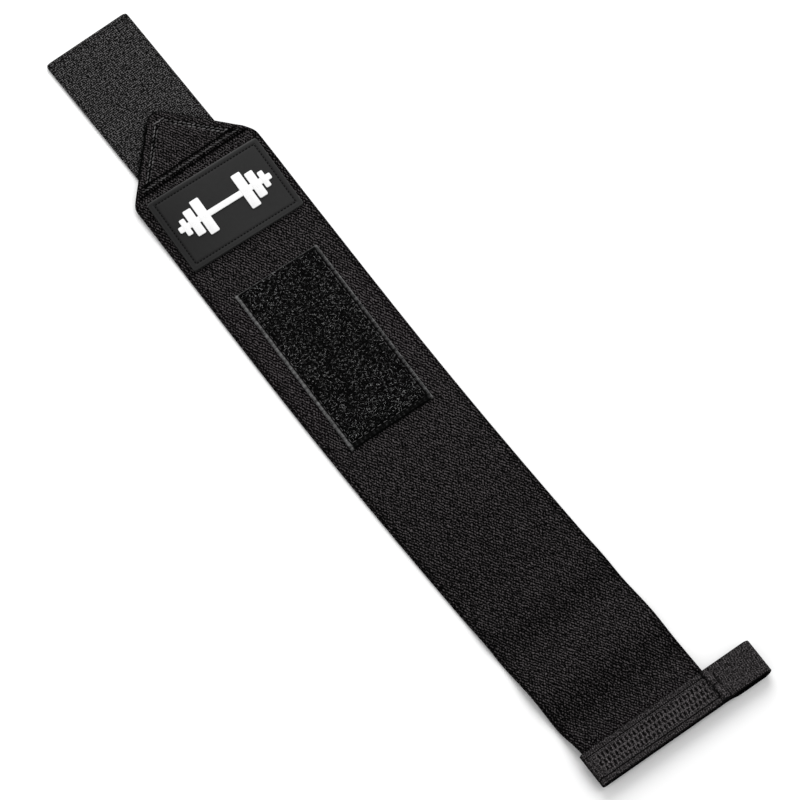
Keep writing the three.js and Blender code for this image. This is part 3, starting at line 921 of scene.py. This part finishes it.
def makeCurls(chance):
    # A few bent fibres, from dark to light
    protos = []
    rise, turn, wander, spread = (curl[key] for key in ("rise", "turn", "wander", "stepSpread"))
    for number, tone in enumerate(curlTones):
        bm = bmesh.new()
        ring = bmesh.ops.create_circle(bm, cap_ends=False, segments=3, radius=curl["radius"])["verts"]
        upright = Matrix.Rotation(math.pi / 2, 3, "Y")
        bmesh.ops.rotate(bm, verts=ring, cent=(0, 0, 0), matrix=upright)
        edges = {edge for corner in ring for edge in corner.link_edges}
        heading, climb = 0.0, rise
        for bend in range(curl["bends"]):
            climb -= 2 * rise / (curl["bends"] - 1)
            heading += chance.uniform(-wander, wander) + (turn if number % 2 else -turn)
            step = curl["step"] + chance.uniform(-spread, spread)
            level = math.cos(climb)
            move = Vector((math.cos(heading) * level, math.sin(heading) * level, math.sin(climb))) * step
            edges = extendTube(bm, edges, move)[1]
        bmesh.ops.recalc_face_normals(bm, faces=bm.faces[:])
        shade = bm.verts.layers.float.new("paintedLightAndTone")
        for corner in bm.verts:
            corner[shade] = tone
        protos.append(takeMesh(bm, "curlProto"))
    return protos


def makePatch():
    centre = patch["start"] + patch["long"] / 2
    place = seat(centre, patch["shift"], patch["turn"])
    lift = place @ Matrix.Scale(0.001, 4)
    longHalf, wideHalf = patch["long"] / 2, patch["width"] / 2
    rows, columns = 172, 100
    edges = [0, 0.3, 0.7, 1.1, 1.5, 2.0, 2.5, 3.0]

    def seatAt(x, y):
        return topAt(*onStrap(centre, patch["shift"], patch["turn"], x, y)) + gap

    def spot(row, column):
        x = -longHalf + patch["long"] * row / rows
        if column < len(edges):
            return x, -wideHalf + edges[column]
        if column > columns - len(edges):
            return x, wideHalf - edges[columns - column]
        first = -wideHalf + edges[-1]
        return x, first - 2 * first * (column - len(edges) + 1) / (columns - 2 * len(edges) + 2)

    def topHeight(x, y):
        inset = wideHalf - abs(y)
        end = longHalf - abs(x)
        lump = 0.25 * noise.noise(Vector((x * 0.9, y * 0.9, 3)))
        hem = patch["hem"] if x > 0 else patch["startHem"]
        pile = 1.0 + (0.55 + lump) * ease(inset, 2.4, 3.4) * ease(end, hem, hem + 1)
        rim = 0.25 * bump(inset, 0.7, 0.45) - 0.3 * bump(inset, 2.6, 0.4)
        if x > 0:
            rim -= 0.25 * bump(end, hem, 0.4) * ease(inset, 1, 2)
        return pile * (0.35 + 0.65 * ease(inset, -0.2, 0.5)) * (0.35 + 0.65 * ease(end, -0.2, 0.6)) + rim

    def placeAt(row, column, upper):
        x, y = spot(row, column)
        z = seatAt(x, y) + (topHeight(x, y) if upper else 0)
        return lift @ Vector((x, y, z)), (x, y)

    def paintedLightAndToneAt(row, column, upper):
        x, y = spot(row, column)
        inset, end = wideHalf - abs(y), longHalf - abs(x)
        marks = 1 - 0.5 * bump((x / 3) % 1, 0.5, 0.16)
        uneven = 0.85 + 0.5 * noise.noise(Vector((x * 0.5, y * 0.5, 8)))
        # The selvedges are lighter, with dark marks; the thin lines along the +Y edge and the start end are
        # painted highlights, and the face underneath is painted dark as shade.
        if y < 0:
            bright = 0.85 * (1 - ease(inset, 1.3, 1.9)) * marks
        else:
            bright = max(bump(inset, 0.25, 0.3), 0.5 * (1 - ease(inset, 0.8, 2.6)) * marks)
        if x < 0:
            bright = max(bright, 0.9 * bump(end, 0.1, 0.4))
        else:
            hem = 0.2 * (1 - ease(end, 2.7, 3.2)) * ease(end, 0.2, 0.8)
            bright = max(bright, hem * (0.7 + 0.3 * math.cos(2 * math.pi * y / 2.6)))
        bright *= uneven
        return max(0, min(1, 0.04 + 0.96 * bright)) if upper else 0.3

    material, tree, shader = startMaterial("loopTapeWeave", 0.85, 0.02)
    flat = placeOf(tree, "flat")
    height, tone = useWeave(tree, flat, 1.3, 1.1, ribs=0.6, fray=0.25)
    light = maths(tree, "MULTIPLY_ADD", tone, 0.5, 0.6)
    # times the painted light and tone stored at the corners, and darker in the weave's gaps as painted
    # shade
    tint = maths(tree, "MULTIPLY", readAttribute(tree, "paintedLightAndTone"), light)
    tint = maths(tree, "MULTIPLY", tint, maths(tree, "MULTIPLY_ADD", height, 0.5, 0.6))
    stops = [(0, (0.0006,) * 3), (0.12, (0.002,) * 3), (1, (0.23,) * 3)]
    tree.links.new(rampOf(tree, tint, stops), shader.inputs["Base Color"])
    addBump(tree, shader, height, 0.2, 0.8)

    piece = makePiece("loopTape", makeShell(rows, columns, placeAt, paintedLightAndToneAt), material)
    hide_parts("loop_patch")

    # one curl to a cell, so the field is even, in shuffled order
    chance = random.Random(11)
    protos = makeCurls(chance)
    counts = curl["cells"]
    low = [clear - size for clear, size in zip(curl["clearStart"], (longHalf, wideHalf))]
    high = [size - clear for clear, size in zip(curl["clearEnd"], (longHalf, wideHalf))]
    cells = [(i, j) for i in range(counts[0]) for j in range(counts[1])]
    chance.shuffle(cells)
    places = []
    for cell in cells:
        shares = ((cell[k] + chance.uniform(0, 1)) / counts[k] for k in (0, 1))
        x, y = (low[k] + (high[k] - low[k]) * share for k, share in enumerate(shares))
        z = seatAt(x, y) + topHeight(x, y) + chance.uniform(*curl["heights"])
        size = chance.uniform(*curl["sizes"])
        turn = chance.uniform(0, curl["spin"])
        places.append(placed(lift @ Vector((x, y, z)), turn, size, size, size))
    bm = bmesh.new()
    scatter(bm, protos, places)
    piece = makePiece("loopPile", bm, plain["pileFibre"])

    # stitches along the tape's edges
    start, end = -longHalf + 2, longHalf - patch["hem"]
    lines = [
        ((start, -wideHalf + 2.5), (end, -wideHalf + 2.5)),
        ((start, wideHalf - 2.9), (end, wideHalf - 2.9)),
        ((end, -wideHalf + 2), (end, wideHalf - 2.5)),
    ]
    rows = []
    for first, second in lines:
        rows += stitchLine(first, second, 3.6, lambda x, y: seatAt(x, y) + topHeight(x, y) + 0.1, 0.08, 31)
    spots = [(lift @ Vector((x, y, z)), turn + math.radians(patch["turn"])) for x, y, z, turn in rows]
    piece = makeStitches("patchStitches", "brightThread", spots, 2.5, 0.35, 0.4)


makePatch()


# Thumb loop: a ring of woven band, flat over the strap and free past its edge
def makeBand():
    b = band
    turnPlace = seat((b["start"] + b["end"]) / 2, 0, b["turn"]) @ Matrix.Scale(0.001, 4)
    high = b["foldHeight"] + b["foldRadius"]
    low = b["edgeHeight"] - b["edgeRadius"]
    floorLine = b["foldHeight"] - b["foldRadius"]
    # fold, top, strap's edge, underneath, bend to the table and loose end
    runs = [
        math.pi * b["foldRadius"], b["foldCentre"] - b["edgeCentre"], math.pi * b["edgeRadius"],
        b["sewnEnd"] - b["edgeCentre"], b["rise"] * 1.08, b["foldCentre"] - b["sewnEnd"] - b["rise"],
    ]
    whole = sum(runs)

    def arc(centre, height, radius, angle):
        out = Vector((math.cos(angle), math.sin(angle)))
        return Vector((centre, height)) + out * radius, out

    def pathAt(s):
        # Place (across, up) and outward direction of the band's middle line
        s %= whole
        if s < runs[0]:
            radius = b["foldRadius"]
            return arc(b["foldCentre"], b["foldHeight"], radius, s / radius - math.pi / 2)
        s -= runs[0]
        if s < runs[1]:
            return Vector((b["foldCentre"] - s, high)), Vector((0, 1))
        s -= runs[1]
        if s < runs[2]:
            radius = b["edgeRadius"]
            return arc(b["edgeCentre"], b["edgeHeight"], radius, s / radius + math.pi / 2)
        s -= runs[2]
        if s < runs[3]:
            return Vector((b["edgeCentre"] + s, low)), Vector((0, -1))
        s -= runs[3]
        if s < runs[4]:
            t = s / runs[4]
            bend = ((0, low), (b["rise"] / 2, low), (b["rise"] / 2, floorLine), (b["rise"], floorLine))
            p0, p1, p2, p3 = (Vector((b["sewnEnd"] + y, z)) for y, z in bend)
            spot = p0 * (1 - t) ** 3 + p1 * 3 * t * (1 - t) ** 2 + p2 * 3 * t * t * (1 - t) + p3 * t**3
            run = (p1 - p0) * 3 * (1 - t) ** 2 + (p2 - p1) * 6 * t * (1 - t) + (p3 - p2) * 3 * t * t
            run.normalize()
            return spot, Vector((run.y, -run.x))
        s -= runs[4]
        return Vector((b["sewnEnd"] + b["rise"] + s, floorLine)), Vector((0, -1))

    columnCount = round(whole / (b["slotPitch"] / 4))
    widths = [0, 0.2, 0.5]
    while widths[-1] < b["width"] - 1.0:
        widths.append(widths[-1] + 0.45)
    widths += [b["width"] - 0.5, b["width"] - 0.2, b["width"]]
    rows = len(widths) - 1
    middle = b["width"] / 2
    first, last = b["slotsFrom"], b["slotsTo"]

    def outerDepthAndPaintedLight(s, w):
        # Depth of the pattern in millimetres, and how light it is: painted shade in the grooves, slots and
        # seam, at the band's edges and on faces turned sideways or down, and painted highlights round the
        # slots and on the pillows
        place, out = pathAt(s)
        y = place.x
        rim = min(w, b["width"] - w)
        sewn = 1 - ease(y, last, last + 1.5) if out.y > -0.5 else 0
        depth = -0.2 * bump(rim, b["groove"], 0.3) * sewn
        # painted shade in the grooves
        tone = 0.95 - 0.7 * bump(rim, b["groove"], 0.25) * sewn
        depth += 0.02 * math.cos(2 * math.pi * s / b["ribPitch"]) * (1 - ease(rim, 2.6, 3.2))
        # painted shade at the band's edges and on faces turned sideways or down
        tone *= 0.55 + 0.45 * ease(rim, 0, 0.6)
        if out.y < 0.5:
            tone *= 0.6 + 0.3 * ease(-out.y, 0.5, 1)
        if out.y > 0.9 and first < y < last:
            fade = ease(y, first, first + 1.5) * (1 - ease(y, last - 1.2, last - 0.2))
            # painted highlight round the slots, and painted shade in them
            tone += 0.37 * fade * (1 - ease(abs(w - middle), 4.6, 5.4))
            for row in (-1, 0, 1):
                centreW = middle + row * b["rowSpace"]
                phase = 0.5 if row == 0 else 0
                at = ((s / b["slotPitch"] + phase) % 1 - 0.5) * b["slotPitch"]
                alongSlot = 1 - ease(abs(w - centreW), b["slotLong"] / 2 - 0.25, b["slotLong"] / 2 + 0.35)
                acrossSlot = 1 - ease(abs(at), b["slotWide"] / 2 - 0.2, b["slotWide"] / 2 + 0.3)
                cut = alongSlot * acrossSlot * fade
                depth -= b["slotDeep"] * cut
                tone -= 1.1 * cut
        lean = y - 0.06 * (w - middle)
        # painted shade in the seam
        seamLine = bump(lean, b["seam"], 0.35) if out.y > 0.9 else 0
        depth -= 0.4 * seamLine
        tone -= 0.55 * seamLine
        if out.y > 0.9 and b["puffStart"] < lean < b["puffEnd"]:
            share = (lean - b["puffStart"]) / (b["puffEnd"] - b["puffStart"])
            pillow = math.sin(math.pi * share) * abs(math.sin(math.pi * w / middle)) ** 0.5
            depth += 0.9 * pillow
            # painted highlight on the pillows, painted shade between them
            tone += 0.2 * pillow - 0.55 * (1 - pillow) ** 2
        return depth, max(0.02, tone)

    def placeAt(row, column, upper):
        s = whole * column / columnCount
        w = widths[row]
        spot, out = pathAt(s)
        away = b["thick"] / 2 - roundOff(min(0.5, w, b["width"] - w), 0.5, 0.5)
        if upper:
            depth = outerDepthAndPaintedLight(s, w)[0]
            if out.y < 0.5:
                depth = min(depth, 0)
            away += depth
        else:
            away = -away
        spot = spot + out * away
        return turnPlace @ Vector((w - middle, spot.x, max(0.02, spot.y))), (s, w)

    def paintedLightAndToneAt(row, column, upper):
        # the inner face is painted darker as shade
        return outerDepthAndPaintedLight(whole * column / columnCount, widths[row])[1] if upper else 0.3

    bm = makeShell(rows, columnCount, placeAt, paintedLightAndToneAt)
    piece = makePiece("thumbBand", bm, bandCloth)
    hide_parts("thumb_loop")

    # fine threads in both grooves, and across the loop's seam
    rows = []
    for inset in (b["groove"] + 0.55, b["width"] - b["groove"] - 0.55):
        x = inset - middle
        rows += stitchLine((x, -36), (x, 34), 1.9, lambda x, y: high + 0.62, 0.05, 41)
    rows += stitchLine((-middle + 3, 34.1), (middle - 3, 35.1), 3.4, lambda x, y: high + 0.45, 0.15, 43)
    spots = [(turnPlace @ Vector((x, y, z)), turn + math.radians(b["turn"])) for x, y, z, turn in rows]
    piece = makeStitches("bandStitches", "paleThread", spots, 1.6, 0.22, 0.25)


makeBand()

for proto in [m for m in bpy.data.meshes if m.users == 0]:
    bpy.data.meshes.remove(proto)
